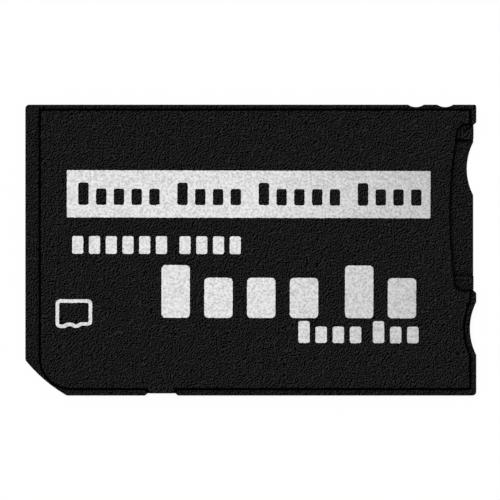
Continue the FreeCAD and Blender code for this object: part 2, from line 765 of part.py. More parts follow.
def chip_component(label, x, y):
    """A capacitor or resistor: a ceramic block between two metal end caps."""
    body = new_body(label)
    body.setExpression("Placement.Base.x", as_size(x).text)
    body.setExpression("Placement.Base.y", as_size(y).text)
    body.setExpression("Placement.Base.z", board_top.text)
    half = s.small_length / 2
    block_half = s.small_width / 2 - s.small_cap_rise
    cap_half = s.small_width / 2
    block = new_sketch(body, f"{label}_block_outline")
    draw(block, rectangle(-half, half, -block_half, block_half))
    pad(body, f"{label}_block", block, s.small_height - s.small_cap_rise)
    caps = new_sketch(body, f"{label}_cap_outlines")
    draw(caps, rectangle(-half, -half + s.small_cap, -cap_half, cap_half))
    draw(caps, rectangle(half - s.small_cap, half, -cap_half, cap_half))
    pad(body, f"{label}_caps", caps, s.small_height)
    return body


def small_components():
    """Four capacitors beside the chip, and a resistor behind each pair of leaf contacts."""
    from_corner = s.small_inset + s.small_length / 2
    from_side = s.small_gap + s.small_width / 2
    bodies = [
        chip_component("capacitor_1", chip_left + from_corner, chip_upper + from_side),
        chip_component("capacitor_2", chip_right - from_corner, chip_upper + from_side),
        chip_component("capacitor_3", chip_left + from_corner, chip_lower - from_side),
        chip_component("capacitor_4", chip_right - from_corner, chip_lower - from_side),
    ]
    for index in range(int(s.leaf_count.number) // 2):
        y = (leaf_place(index * 2) + leaf_place(index * 2 + 1)) / 2
        bodies.append(chip_component(f"resistor_{index + 1}", resistor_place, y))
    return bodies


pieces = [base_shell(), top_cover(), circuit_board(), contact_carrier(), controller_chip()]
pieces += [host_contact(index) for index in range(int(s.contact_count.number))]
pieces += [card_contact(index) for index in range(int(s.leaf_count.number))]
pieces += small_components()
doc.recompute()

for item in doc.Objects:
    if "Invalid" in item.State or "Error" in item.State:
        raise RuntimeError(f"{item.Label} did not build: {item.State}")
for piece in pieces:
    if piece.Shape.isNull() or not piece.Shape.isValid() or len(piece.Shape.Solids) != 1:
        raise RuntimeError(f"{piece.Label} is not one valid solid")

os.makedirs("parts", exist_ok=True)
for piece in pieces:
    piece.Shape.exportStep(f"parts/{piece.Label}.step")
    print(f"{piece.Label:18s} {piece.Shape.Volume:9.3f} mm3")
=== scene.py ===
import math

import bmesh
import bpy
from bpy.props import FloatProperty, FloatVectorProperty, PointerProperty
from mathutils import Matrix, Vector, noise


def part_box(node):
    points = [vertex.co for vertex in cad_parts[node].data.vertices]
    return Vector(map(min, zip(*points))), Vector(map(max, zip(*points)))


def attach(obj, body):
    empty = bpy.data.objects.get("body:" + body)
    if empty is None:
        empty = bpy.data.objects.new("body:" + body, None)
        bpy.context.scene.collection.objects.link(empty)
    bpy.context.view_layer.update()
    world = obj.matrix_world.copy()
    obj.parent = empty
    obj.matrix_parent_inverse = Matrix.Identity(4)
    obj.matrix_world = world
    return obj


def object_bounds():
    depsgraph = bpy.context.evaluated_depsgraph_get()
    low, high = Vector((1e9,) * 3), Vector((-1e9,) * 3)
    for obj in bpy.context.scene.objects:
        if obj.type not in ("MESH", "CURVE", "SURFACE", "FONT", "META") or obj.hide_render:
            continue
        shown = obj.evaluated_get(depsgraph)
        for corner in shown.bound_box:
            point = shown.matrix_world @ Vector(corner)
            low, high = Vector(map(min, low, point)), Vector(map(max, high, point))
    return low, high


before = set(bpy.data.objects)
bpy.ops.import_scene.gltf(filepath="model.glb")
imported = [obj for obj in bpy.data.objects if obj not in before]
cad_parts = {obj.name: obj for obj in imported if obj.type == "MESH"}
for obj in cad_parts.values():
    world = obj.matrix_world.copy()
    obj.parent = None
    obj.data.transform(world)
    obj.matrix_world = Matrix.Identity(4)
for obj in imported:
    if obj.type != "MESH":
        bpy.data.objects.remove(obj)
cad_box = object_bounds()

bl_info = {
    "name": "Card adapter finish",
    "version": (1, 1, 0),
    "blender": (4, 5, 0),
    "location": "3D View > Sidebar > Card adapter",
    "description": "Grained plastic, printed label, metal and studio for a memory card adapter",
    "category": "Material",
}

# One millimetre, in Blender's metres
MM = 0.001


# Values that a user would change

class PlasticLooks(bpy.types.PropertyGroup):
    """The moulded black plastic of both shells."""

    # The colours of the grain's tops and valleys are a lit and a shaded copy of one black plastic: each
    # stroke of the grain gets a painted lit side and a painted shaded side, and the valleys' colour is also
    # the painted shade in crevices and the painted shadow under ledges.
    top: FloatVectorProperty(
        name="Grain tops", description="Colour of the plastic on the grain's tops",
        subtype="COLOR", size=3, min=0, max=1, default=(0.0215, 0.0215, 0.0217),
    )
    valley_and_painted_shade: FloatVectorProperty(
        name="Grain valleys", description="Colour of the plastic between the grain's tops",
        subtype="COLOR", size=3, min=0, max=1, default=(0.0003, 0.0003, 0.0003),
    )
    grain_size: FloatProperty(
        name="Grain size", description="Width of one grain of the moulded texture",
        default=0.10 * MM, min=0.01 * MM, unit="LENGTH",
    )
    grain_depth: FloatProperty(
        name="Grain depth", description="Height of the grain over its valleys",
        default=0.10 * MM, min=0, unit="LENGTH",
    )
    bend_size: FloatProperty(
        name="Bend size", description="Width of the areas in which the strokes lean alike",
        default=0.7 * MM, min=0.01 * MM, unit="LENGTH",
    )
    bend: FloatProperty(
        name="Bend", description="How far the strokes are pushed aside",
        default=0.25 * MM, min=0, unit="LENGTH",
    )
    lean: FloatProperty(
        name="Lean", description="Direction of the strokes, anticlockwise from +X",
        default=math.radians(45), subtype="ANGLE",
    )
    stretch: FloatProperty(
        name="Stretch", description="Length of a stroke over its width", default=1.2, min=1,
    )
    gap: FloatProperty(
        name="Stroke gap", description="Shift between the two noises whose difference is the grain",
        default=0.07 * MM, min=0, unit="LENGTH",
    )
    softness: FloatProperty(
        name="Stroke softness", description="How gently a stroke's top passes into its valley",
        default=0.04, min=0.001, max=1,
    )
    # Painted shade: the crevice values darken the plastic's colour at the foot of walls, in seams and at
    # steps, where walls close off the sky nearby.
    painted_crevice_shade_reach: FloatProperty(
        name="Crevice reach", description="How near a wall darkens the corner at its foot",
        default=0.3 * MM, min=0, unit="LENGTH",
    )
    painted_crevice_shade_dark: FloatProperty(
        name="Crevice, dark", description="Share of open sky below which a corner is fully dark",
        default=0.9, min=0, max=1, subtype="FACTOR",
    )
    painted_crevice_shade_clear: FloatProperty(
        name="Crevice, clear", description="Share of open sky above which the plastic is undarkened",
        default=0.995, min=0, max=1, subtype="FACTOR",
    )
    # Painted shadow: the values below darken the colour of floors under an overhanging edge.
    painted_ledge_shadow_reach: FloatProperty(
        name="Ledge reach", description="How near an overhanging edge darkens the floor under it",
        default=0.85 * MM, min=0, unit="LENGTH",
    )
    painted_ledge_shadow_dark: FloatProperty(
        name="Ledge, dark", description="Share of open sky below which the floor under an edge is fully dark",
        default=0.88, min=0, max=1, subtype="FACTOR",
    )
    painted_ledge_shadow_clear: FloatProperty(
        name="Ledge, clear", description="Share of open sky above which that floor is undarkened",
        default=0.94, min=0, max=1, subtype="FACTOR",
    )
    valley_roughness: FloatProperty(
        name="Valley roughness", description="Roughness between the grain's tops",
        default=0.9, min=0, max=1, subtype="FACTOR",
    )
    roughness: FloatProperty(
        name="Roughness", description="Roughness on the grain's tops",
        default=0.5, min=0, max=1, subtype="FACTOR",
    )
    shine: FloatProperty(
        name="Shine", description="Specular level of the plastic",
        default=0.015, min=0, max=1, subtype="FACTOR",
    )
    sheen: FloatProperty(
        name="Sheen", description="How much lighter the grain looks at a flat angle",
        default=0.05, min=0, max=1, subtype="FACTOR",
    )
    sheen_roughness: FloatProperty(
        name="Sheen roughness", description="How widely that sheen spreads",
        default=0.4, min=0, max=1, subtype="FACTOR",
    )


class PrintLooks(bpy.types.PropertyGroup):
    """The white print on the cover."""

    ink_left: FloatVectorProperty(
        name="Ink, left", description="Colour of the ink at the contact end",
        subtype="COLOR", size=3, min=0, max=1, default=(0.84, 0.84, 0.84),
    )
    ink_right: FloatVectorProperty(
        name="Ink, right", description="Colour of the ink at the slot end",
        subtype="COLOR", size=3, min=0, max=1, default=(0.60, 0.60, 0.60),
    )
    plastic_shows: FloatProperty(
        name="Plastic shows", description="Share of the dark plastic that shows where the ink is thinnest",
        default=0.40, min=0, max=1, subtype="FACTOR",
    )
    mottle_size: FloatProperty(
        name="Mottle size", description="Width of the spots in which the ink lies thinner",
        default=0.15 * MM, min=0.01 * MM, unit="LENGTH",
    )
    dent_depth: FloatProperty(
        name="Dent depth", description="Depth of the dents that the plastic's grain leaves in the ink",
        default=0.02 * MM, min=0, unit="LENGTH",
    )
    shine: FloatProperty(
        name="Shine", description="Specular level of the ink", default=0.3, min=0, max=1, subtype="FACTOR",
    )
    thickness: FloatProperty(
        name="Ink thickness", description="Thickness of the ink on the cover",
        default=0.012 * MM, min=0.001 * MM, unit="LENGTH",
    )
    edge_step: FloatProperty(
        name="Edge step", description="Distance between the points of an ink edge",
        default=0.06 * MM, min=0.02 * MM, unit="LENGTH",
    )
    edge_ragged: FloatProperty(
        name="Edge raggedness", description="How far the grain pushes an ink edge in or out",
        default=0.024 * MM, min=0, unit="LENGTH",
    )
    turn: FloatProperty(
        name="Turn", description="How far the printed plate stood askew, anticlockwise",
        default=math.radians(-0.15), subtype="ANGLE",
    )


class InsideLooks(bpy.types.PropertyGroup):
    """The contacts, the board and what stands on it."""

    gold: FloatVectorProperty(
        name="Gold", description="Colour of the gold plating",
        subtype="COLOR", size=3, min=0, max=1, default=(0.90, 0.66, 0.28),
    )
    gold_stain: FloatVectorProperty(
        name="Gold, stained", description="Colour of the plating where it is stained",
        subtype="COLOR", size=3, min=0, max=1, default=(0.62, 0.40, 0.16),
    )
    land_wear: FloatProperty(
        name="Wear of the lands", description="How strongly the contact lands are stained",
        default=0.35, min=0, max=1, subtype="FACTOR",
    )
    leaf_wear: FloatProperty(
        name="Wear of the leaves", description="How strongly the leaf contacts are stained",
        default=0.7, min=0, max=1, subtype="FACTOR",
    )
    resist_dark: FloatVectorProperty(
        name="Resist, dark", description="Colour of the board's solder resist where it lies thick",
        subtype="COLOR", size=3, min=0, max=1, default=(0.010, 0.050, 0.026),
    )
    resist_pale: FloatVectorProperty(
        name="Resist, pale", description="Colour of the board's solder resist where it lies thin",
        subtype="COLOR", size=3, min=0, max=1, default=(0.018, 0.078, 0.040),
    )
    chip_tone: FloatProperty(
        name="Chip tone", description="Grey level of the chip's package",
        default=0.012, min=0, max=1, subtype="FACTOR",
    )
    carrier_tone: FloatProperty(
        name="Carrier tone", description="Grey level of the contact carrier",
        default=0.008, min=0, max=1, subtype="FACTOR",
    )
    capacitor_dark: FloatVectorProperty(
        name="Capacitor, dark", description="Darker colour of the capacitors' ceramic",
        subtype="COLOR", size=3, min=0, max=1, default=(0.34, 0.21, 0.11),
    )
    capacitor_pale: FloatVectorProperty(
        name="Capacitor, pale", description="Paler colour of the capacitors' ceramic",
        subtype="COLOR", size=3, min=0, max=1, default=(0.46, 0.30, 0.17),
    )
    resistor_dark: FloatVectorProperty(
        name="Resistor, dark", description="Darker colour of the resistors' glaze",
        subtype="COLOR", size=3, min=0, max=1, default=(0.010, 0.010, 0.012),
    )
    resistor_pale: FloatVectorProperty(
        name="Resistor, pale", description="Paler colour of the resistors' glaze",
        subtype="COLOR", size=3, min=0, max=1, default=(0.030, 0.030, 0.035),
    )
    tin: FloatVectorProperty(
        name="Tin", description="Colour of the small components' tinned ends",
        subtype="COLOR", size=3, min=0, max=1, default=(0.72, 0.71, 0.69),
    )


class StudioLooks(bpy.types.PropertyGroup):
    """Camera, lamps and surroundings."""

    frame_width: FloatProperty(
        name="Frame width", description="Width of what the camera sees at the rim's height",
        default=34.36 * MM, unit="LENGTH",
    )
    frame_x: FloatProperty(
        name="Frame centre X", description="Middle of the view along the adapter",
        default=-0.055 * MM, unit="LENGTH",
    )
    frame_y: FloatProperty(
        name="Frame centre Y", description="Middle of the view across the adapter",
        default=0.008 * MM, unit="LENGTH",
    )
    lens: FloatProperty(
        name="Lens", description="Focal length in millimetres", default=600, min=20, unit="CAMERA",
    )
    key_strength: FloatProperty(
        name="Key light", description="Strength of the lamp at the upper left", default=2.1, min=0,
    )
    key_height: FloatProperty(
        name="Key height", description="Angle of the key light over the floor",
        default=math.radians(78), subtype="ANGLE",
    )
    key_bearing: FloatProperty(
        name="Key bearing", description="Where the key light stands, anticlockwise from +X",
        default=math.radians(135), subtype="ANGLE",
    )
    key_softness: FloatProperty(
        name="Key softness", description="How wide the key light looks from the adapter",
        default=math.radians(14), subtype="ANGLE",
    )
    room_light: FloatProperty(
        name="Room light", description="Level of the even light of the room", default=0.35, min=0,
    )
    ceiling: FloatProperty(
        name="Ceiling", description="How bright the dark ceiling looks in a shiny surface",
        default=0.12, min=0,
    )
    backdrop: FloatProperty(
        name="Backdrop", description="How bright the white backdrop looks in a shiny surface",
        default=0.9, min=0,
    )
    paper: FloatVectorProperty(
        name="Paper", description="Colour of the floor",
        subtype="COLOR", size=3, min=0, max=1, default=(0.95, 0.95, 0.95),
    )
    floor_size: FloatProperty(
        name="Floor size", description="Side of the floor", default=4.0, unit="LENGTH",
    )
    floor_shadow: FloatProperty(
        name="Floor shadow", description="Share of the lamps' light that shows on the floor",
        default=0.05, min=0, max=1, subtype="FACTOR",
    )


class CardAdapterLooks(bpy.types.PropertyGroup):
    """All looks of the card adapter."""

    plastic: PointerProperty(type=PlasticLooks)
    ink: PointerProperty(type=PrintLooks)
    inside: PointerProperty(type=InsideLooks)
    studio: PointerProperty(type=StudioLooks)


def looks():
    return bpy.context.scene.card_adapter


# Shader maths

# Smooth noise runs from 0 to 1 about this middle, and seldom leaves this band
NOISE_MIDDLE = 0.5
NOISE_BAND = 0.3, 0.7
# Upward part of the normal of a face that counts fully as a wall, and of one that counts fully as a floor
WALL, FLOOR = 0.5, 0.9
# Rays that look for walls near a point
SKY_SAMPLES = 8


class Value:
    """An output socket of a material, written in expressions as a number or a vector is."""

    def __init__(self, finish, socket):
        self.finish = finish
        self.socket = socket

    def maths(self, operation, first, second):
        values = [first, second]
        kind = "ShaderNodeMath"
        if any(isinstance(item, Value) and item.socket.type in ("VECTOR", "RGBA") for item in values):
            kind = "ShaderNodeVectorMath"
            values = [(item,) * 3 if isinstance(item, (int, float)) else item for item in values]
        return self.finish.node(kind, {"operation": operation}, dict(enumerate(values)))

    def __add__(self, other):
        return self.maths("ADD", self, other)

    def __sub__(self, other):
        return self.maths("SUBTRACT", self, other)

    def __rsub__(self, other):
        return self.maths("SUBTRACT", other, self)

    def __mul__(self, other):
        return self.maths("MULTIPLY", self, other)

    __radd__ = __add__
    __rmul__ = __mul__


def in_use(sockets, name):
    """The socket with that number, or the one with that name which the node's settings leave in use."""
    if isinstance(name, int):
        return sockets[name]
    return next(socket for socket in sockets if socket.name == name and socket.enabled)


def fitted(value, socket):
    """A colour written as three numbers gets the fourth that its socket asks for."""
    return (*value, 1.0) if socket.type == "RGBA" and len(value) == 3 else value


class Finish:
    """The nodes of a material or of the surroundings, under construction."""

    def __init__(self, tree):
        self.tree = tree
        tree.nodes.clear()

    def node(self, kind, settings=None, sockets=None, output=0):
        """Adds a node: first its settings, then its sockets. Gives one of its outputs."""
        node = self.tree.nodes.new(kind)
        for name, value in (settings or {}).items():
            setattr(node, name, value)
        for name, value in (sockets or {}).items():
            socket = in_use(node.inputs, name)
            if isinstance(value, Value):
                self.tree.links.new(value.socket, socket)
            else:
                socket.default_value = fitted(value, socket)
        return Value(self, in_use(node.outputs, output)) if node.outputs else None

    def place(self):
        """Where a point lies in the adapter's frame, in metres."""
        return self.node("ShaderNodeTexCoord", output="Object")

    def axis(self, vector, name):
        return self.node("ShaderNodeSeparateXYZ", sockets={0: vector}, output=name)

    def noise(self, vector, size, detail=2.0, roughness=0.5, output="Fac"):
        """Smooth noise from 0 to 1 whose lumps are about as wide as size. Its Color is three noises."""
        sockets = {"Vector": vector, "Scale": 1 / size, "Detail": detail, "Roughness": roughness}
        return self.node("ShaderNodeTexNoise", sockets=sockets, output=output)

    def ramp(self, value, low, high, to_low=0.0, to_high=1.0):
        """Maps low to high onto another range, and stays within it."""
        sockets = {"Value": value, "From Min": low, "From Max": high, "To Min": to_low, "To Max": to_high}
        return self.node("ShaderNodeMapRange", {"clamp": True}, sockets)

    def blend(self, share, first, second):
        """Mixes two colours."""
        sockets = {"Factor": share, "A": first, "B": second}
        return self.node("ShaderNodeMix", {"data_type": "RGBA"}, sockets, output="Result")

    def bump(self, height, depth):
        """A surface normal that follows a height from 0 to 1, which stands for depth in metres."""
        return self.node("ShaderNodeBump", sockets={"Height": height, "Distance": depth})

    def open_sky(self, reach):
        """Share of directions in which nothing lies nearer than reach."""
        return self.node("ShaderNodeAmbientOcclusion", {"samples": SKY_SAMPLES}, {"Distance": reach}, "AO")

    def facing_up(self):
        """1 on floors and 0 on walls."""
        return self.ramp(self.axis(self.node("ShaderNodeTexCoord", output="Normal"), "Z"), WALL, FLOOR)

    def surface(self, **sockets):
        """Ends the tree with a Principled surface. Names are its sockets, with _ for a space."""
        named = {name.replace("_", " "): value for name, value in sockets.items()}
        self.end(self.node("ShaderNodeBsdfPrincipled", sockets=named))

    def end(self, shader, kind="ShaderNodeOutputMaterial"):
        self.node(kind, sockets={"Surface": shader})

    def seen_directly(self):
        """1 for a ray from the camera, or one that a shiny or clear surface passes on."""
        camera, glossy, clear = (
            self.node("ShaderNodeLightPath", output=f"Is {kind} Ray")
            for kind in ("Camera", "Glossy", "Transmission")
        )
        return self.ramp(camera + glossy + clear, 0, 1)


def material(name, fill):
    """The material of that name. The first call makes it, and fill(finish) adds its nodes."""
    made = bpy.data.materials.get(name)
    if not made:
        made = bpy.data.materials.new(name)
        made.use_nodes = True
        fill(Finish(made.node_tree))
    return made


def dress(names, finish):
    """Gives CAD nodes one material all over."""
    for name in names:
        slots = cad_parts[name].data.materials
        slots.clear()
        slots.append(finish)


def nodes_named(start):
    return sorted(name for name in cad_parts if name.startswith(start))


# Materials

# How far the cover's grain is moved, in metres, so that it doesn't run on from the base's
COVER_GRAIN_SHIFT = 0.057


def black_plastic(finish, shift):
    """Black plastic with the short leaning strokes of a fine mould grain. Its colour carries painted light
    and shade: a painted lit side and a painted shaded side on each stroke, painted shade at the foot of
    walls, in seams and at steps, and a painted shadow on floors under overhanging edges. shift moves the
    grain on.
    """
    plastic = looks().plastic
    place = finish.place() + shift
    push = finish.noise(place, plastic.bend_size, output="Color") - NOISE_MIDDLE
    bent = place + push * plastic.bend
    lean = {"Vector": bent, "Rotation": (0, 0, plastic.lean), "Scale": (plastic.stretch, 1, 1)}
    strokes = finish.node("ShaderNodeMapping", {"vector_type": "TEXTURE"}, lean)
    beside = strokes + (0.0, plastic.gap, 0.0)
    size = plastic.grain_size
    # The difference of two noises a little apart is an embossed grain. Where it feeds the colour, it paints a
    # lit side and a shaded side on each stroke, besides the real grain that it also gives the bump.
    grain = finish.noise(strokes, size, detail=0) - finish.noise(beside, size, detail=0)
    near, far = finish.open_sky(plastic.painted_crevice_shade_reach), finish.open_sky(plastic.painted_ledge_shadow_reach)
    # Painted shade: the colour darkens at the foot of walls, in seams and at steps, where the open sky close
    # by is scarce.
    corner = finish.ramp(near, plastic.painted_crevice_shade_dark, plastic.painted_crevice_shade_clear)
    # Painted shadow: the colour of floors darkens under an overhanging edge, where the open sky farther off
    # is scarce.
    painted_ledge_shadow = finish.ramp(far, plastic.painted_ledge_shadow_dark, plastic.painted_ledge_shadow_clear, 1.0, 0.0)
    clear = corner * (1 - finish.facing_up() * painted_ledge_shadow)
    # The painted grain shading picks between the shaded and the lit colour, and the painted crevice shade and
    # ledge shadow pull it to the shaded one.
    share = finish.ramp(grain, -plastic.softness, plastic.softness) * clear
    finish.surface(
        Base_Color=finish.blend(share, plastic.valley_and_painted_shade, plastic.top),
        Roughness=finish.ramp(share, 0, 1, plastic.valley_roughness, plastic.roughness),
        Specular_IOR_Level=plastic.shine, Normal=finish.bump(grain, plastic.grain_depth),
        Sheen_Weight=plastic.sheen, Sheen_Roughness=plastic.sheen_roughness,
    )


def white_ink(finish):
    """Matt screen ink that the plastic's grain thins and dents, a little greyer towards the slot end."""
    ink = looks().ink
    place = finish.place()
    # The ink greys from the adapter's middle to the bar's end
    bar_end = cad_box[1].x * 0.8
    along = finish.ramp(finish.axis(place, "X"), 0, bar_end)
    full = finish.blend(along, ink.ink_left, ink.ink_right)
    # Fine mottle with a little of a broad cloud in it. The ink is thinnest at the first level, and full
    # at the second.
    cloud_size, cloud_share = 6 * ink.mottle_size, 0.1
    thinnest, thickest = 0.30, 0.62
    mottle = finish.noise(place, ink.mottle_size, detail=1.0, roughness=0.6)
    cloud = finish.noise(place, cloud_size)
    mixed = mottle * (1 - cloud_share) + cloud * cloud_share
    thin = finish.ramp(mixed, thinnest, thickest, ink.plastic_shows, 0.0)
    # The peaks of a second noise are pinholes. They start and are complete at these levels.
    pinhole_size, pinhole_share = 0.22 * MM, 0.15
    pinhole_rim, pinhole_middle = 0.68, 0.76
    elsewhere = place + 0.013
    peaks = finish.noise(elsewhere, pinhole_size, detail=1.0)
    pinhole = finish.ramp(peaks, pinhole_rim, pinhole_middle) * pinhole_share
    dull, smooth = 0.68, 0.52
    finish.surface(
        Base_Color=finish.blend(thin + pinhole, full, looks().plastic.top),
        Roughness=finish.ramp(mottle, *NOISE_BAND, dull, smooth),
        Specular_IOR_Level=ink.shine, Normal=finish.bump(mottle, ink.dent_depth),
    )


def gold_plate(finish, worn):
    """Gold plating with the fine lines of the rolled strip along X."""
    inside = looks().inside
    place = finish.place()
    # Noise drawn out along the strip
    drawn_out = (0.06, 1.0, 1.0)
    line_width, line_depth = 0.03 * MM, 0.002 * MM
    lines = finish.noise(place * drawn_out, line_width)
    # Stains start at the first level of a broad noise and are complete at the second
    stain_size, stain_rim, stain_middle = 0.6 * MM, 0.45, 0.75
    stain = finish.ramp(finish.noise(place, stain_size, detail=3.0), stain_rim, stain_middle)
    smooth, dull = 0.22, 0.38
    finish.surface(
        Base_Color=finish.blend(stain * worn, inside.gold, inside.gold_stain), Metallic=1.0,
        Roughness=finish.ramp(lines, *NOISE_BAND, smooth, dull), Normal=finish.bump(lines, line_depth),
    )


def board_resist(finish):
    """Green solder resist over the weave of the glass cloth."""
    inside = looks().inside
    place = finish.place()
    # A wave texture of this scale has a thread every 0.39 mm
    weave = {"Vector": place, "Scale": 800.0}
    across, along = (
        finish.node("ShaderNodeTexWave", {"bands_direction": way}, weave, "Fac") for way in "XY"
    )
    thread_height, cloud_size = 0.003 * MM, 1.5 * MM
    cloud = finish.noise(place, cloud_size, detail=3.0)
    smooth, dull = 0.30, 0.42
    finish.surface(
        Base_Color=finish.blend(cloud, inside.resist_dark, inside.resist_pale),
        Roughness=finish.ramp(cloud, *NOISE_BAND, smooth, dull), Specular_IOR_Level=0.35,
        Normal=finish.bump(across * 0.5 + along * 0.5, thread_height),
    )


def dark_moulding(finish, tone, grain_size):
    """Glass-filled dark plastic with pale specks, for the carrier and the chip's package."""
    place = finish.place()
    grain = finish.noise(place, grain_size, detail=3.0, roughness=0.6)
    # The peaks of a second noise are the ends of glass fibres. They start and are complete at these levels.
    speck_size, speck_share = grain_size * 0.7, 0.4
    speck_rim, speck_middle = 0.62, 0.72
    elsewhere = place + 0.031
    peaks = finish.noise(elsewhere, speck_size, detail=1.0)
    speck = finish.ramp(peaks, speck_rim, speck_middle) * speck_share
    plastic, glass = (tone, tone, tone), (tone * 4, tone * 4, tone * 4.2)
    dull, smooth = 0.62, 0.45
    grain_depth = grain_size * 0.12
    finish.surface(
        Base_Color=finish.blend(speck, plastic, glass),
        Roughness=finish.ramp(grain, *NOISE_BAND, dull, smooth),
        Specular_IOR_Level=0.3, Normal=finish.bump(grain, grain_depth),
    )


def chip_part(finish, dark, pale):
    """A ceramic block between two tinned ends, each a fifth of its length."""
    place = finish.place()
    run = finish.axis(finish.node("ShaderNodeTexCoord", output="Generated"), "X")
    near_end, far_end = (0.20, 0.22), (0.78, 0.80)
    end = finish.ramp(run, *near_end, 1.0, 0.0) + finish.ramp(run, *far_end)
    grain_size, grain_depth = 0.05 * MM, 0.006 * MM
    grain = finish.noise(place, grain_size)
    ceramic = finish.blend(grain, dark, pale)
    smooth, dull = 0.36, 0.52
    finish.surface(
        Base_Color=finish.blend(end, ceramic, looks().inside.tin), Metallic=end,
        Roughness=finish.ramp(grain, *NOISE_BAND, smooth, dull), Normal=finish.bump(grain, grain_depth),
    )


# Outlines for the print, in millimetres

# Share of a side that the arc at one of its ends may take
MOST_OF_A_SIDE = 0.45
# Fewest points of a ragged edge
FEWEST_POINTS = 12
# Waves of a ragged edge, broad ones with finer ones on them: waves per millimetre, and height
EDGE_WAVES = (7, 1.0), (17, 0.5)
# Points nearer to each other than this, in millimetres, are joined
SAME_POINT = 1e-5


def block(x, y, length, height):
    """Corners of a block from its lower left corner."""
    return [(x, y), (x + length, y), (x + length, y + height), (x, y + height)]


def row_of_blocks(x, y, groups, size, tall, gap, space):
    """Upright blocks in groups. tall is the height of the first of a group, and size the width of every
    block and the height of the others. gap parts the blocks of a group, and space parts the groups."""
    blocks = []
    for count in groups:
        for number in range(count):
            blocks.append(block(x, y, size[0], size[1] if number else tall))
            x += size[0] + gap
        x += space - gap
    return blocks


def rounded(corners, radius, steps=5):
    """Replaces each corner of an outline by an arc, smaller where a side is too short for the radius."""
    points = [Vector(corner) for corner in corners]
    outline = []
    for index, corner in enumerate(points):
        back = points[index - 1] - corner
        ahead = points[(index + 1) % len(points)] - corner
        half_angle = back.angle(ahead) / 2
        reach = min(radius / math.tan(half_angle), MOST_OF_A_SIDE * min(back.length, ahead.length))
        back.normalize()
        ahead.normalize()
        centre = corner + (back + ahead).normalized() * (reach / math.cos(half_angle))
        first = corner + back * reach - centre
        last = corner + ahead * reach - centre
        turn = last.angle_signed(first)
        for step in range(steps + 1):
            outline.append(centre + Matrix.Rotation(turn * step / steps, 2) @ first)
    return outline


def inset(corners, distance):
    """Moves every side of an anticlockwise outline inwards."""
    points = [Vector(corner) for corner in corners]
    moved = []
    for index, corner in enumerate(points):
        arriving = (corner - points[index - 1]).normalized()
        leaving = (points[(index + 1) % len(points)] - corner).normalized()
        sides = Vector((-arriving.y, arriving.x)), Vector((-leaving.y, leaving.x))
        moved.append(corner + (sides[0] + sides[1]) * (distance / (1 + sides[0].dot(sides[1]))))
    return moved


def ragged(outline, seed):
    """Spaces an outline's points evenly and pushes them in and out, as grain does to a printed edge."""
    ink = looks().ink
    closed = outline + outline[:1]
    lengths = [(end - start).length for start, end in zip(closed, closed[1:])]
    count = max(FEWEST_POINTS, round(sum(lengths) * MM / ink.edge_step))
    spacing = sum(lengths) / count
    points = []
    side, walked = 0, 0.0
    for index in range(count):
        while walked + lengths[side] < index * spacing:
            walked += lengths[side]
            side += 1
        way = (closed[side + 1] - closed[side]).normalized()
        point = closed[side] + way * (index * spacing - walked)
        spot = Vector((point.x, point.y, seed))
        push = sum(height * noise.noise(spot * waves) for waves, height in EDGE_WAVES)
        points.append(point + Vector((way.y, -way.x)) * push * ink.edge_ragged / MM)
    return points


def ink_piece(name, outlines):
    """A thin sheet of ink on the cover. An outline inside another one is a hole."""
    ink = looks().ink
    curve = bpy.data.curves.new(name, "CURVE")
    curve.dimensions = "2D"
    curve.fill_mode = "BOTH"
    curve.extrude = ink.thickness / MM / 2
    for number, outline in enumerate(outlines):
        points = ragged(outline, number)
        spline = curve.splines.new("POLY")
        spline.points.add(len(points) - 1)
        for target, point in zip(spline.points, points):
            target.co = (point.x, point.y, 0, 1)
        spline.use_cyclic_u = True
    drawing = bpy.data.objects.new(name + "_drawing", curve)
    bpy.context.scene.collection.objects.link(drawing)
    bpy.context.view_layer.update()
    mesh = bpy.data.meshes.new_from_object(drawing)
    bpy.data.objects.remove(drawing)
    bpy.data.curves.remove(curve)
    weld(mesh)
    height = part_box("top_cover")[1].z + ink.thickness / 2
    lay = Matrix.Translation((0, 0, height)) @ Matrix.Rotation(ink.turn, 4, "Z") @ Matrix.Scale(MM, 4)
    mesh.transform(lay)
    mesh.name = name
    mesh.materials.clear()
    mesh.materials.append(material("white_ink", white_ink))
    piece = bpy.data.objects.new(name, mesh)
    bpy.context.scene.collection.objects.link(piece)
    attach(piece, "root")


def weld(mesh):
    """Joins points that lie on each other, so that the mesh closes."""
    shape = bmesh.new()
    shape.from_mesh(mesh)
    bmesh.ops.remove_doubles(shape, verts=shape.verts, dist=SAME_POINT)
    shape.to_mesh(mesh)
    shape.free()


# Operators, one for each piece or group of like pieces

class DressShells(bpy.types.Operator):
    """Gives the base and the cover their grained black plastic."""

    bl_idname = "card_adapter.dress_shells"
    bl_label = "Shells"

    def execute(self, context):
        shells = {
            "base_shell": ("black_plastic_base", lambda finish: black_plastic(finish, 0.0)),
            "top_cover": ("black_plastic_cover", lambda finish: black_plastic(finish, COVER_GRAIN_SHIFT)),
        }
        for shell, (name, fill) in shells.items():
            dress([shell], material(name, fill))
        return {"FINISHED"}


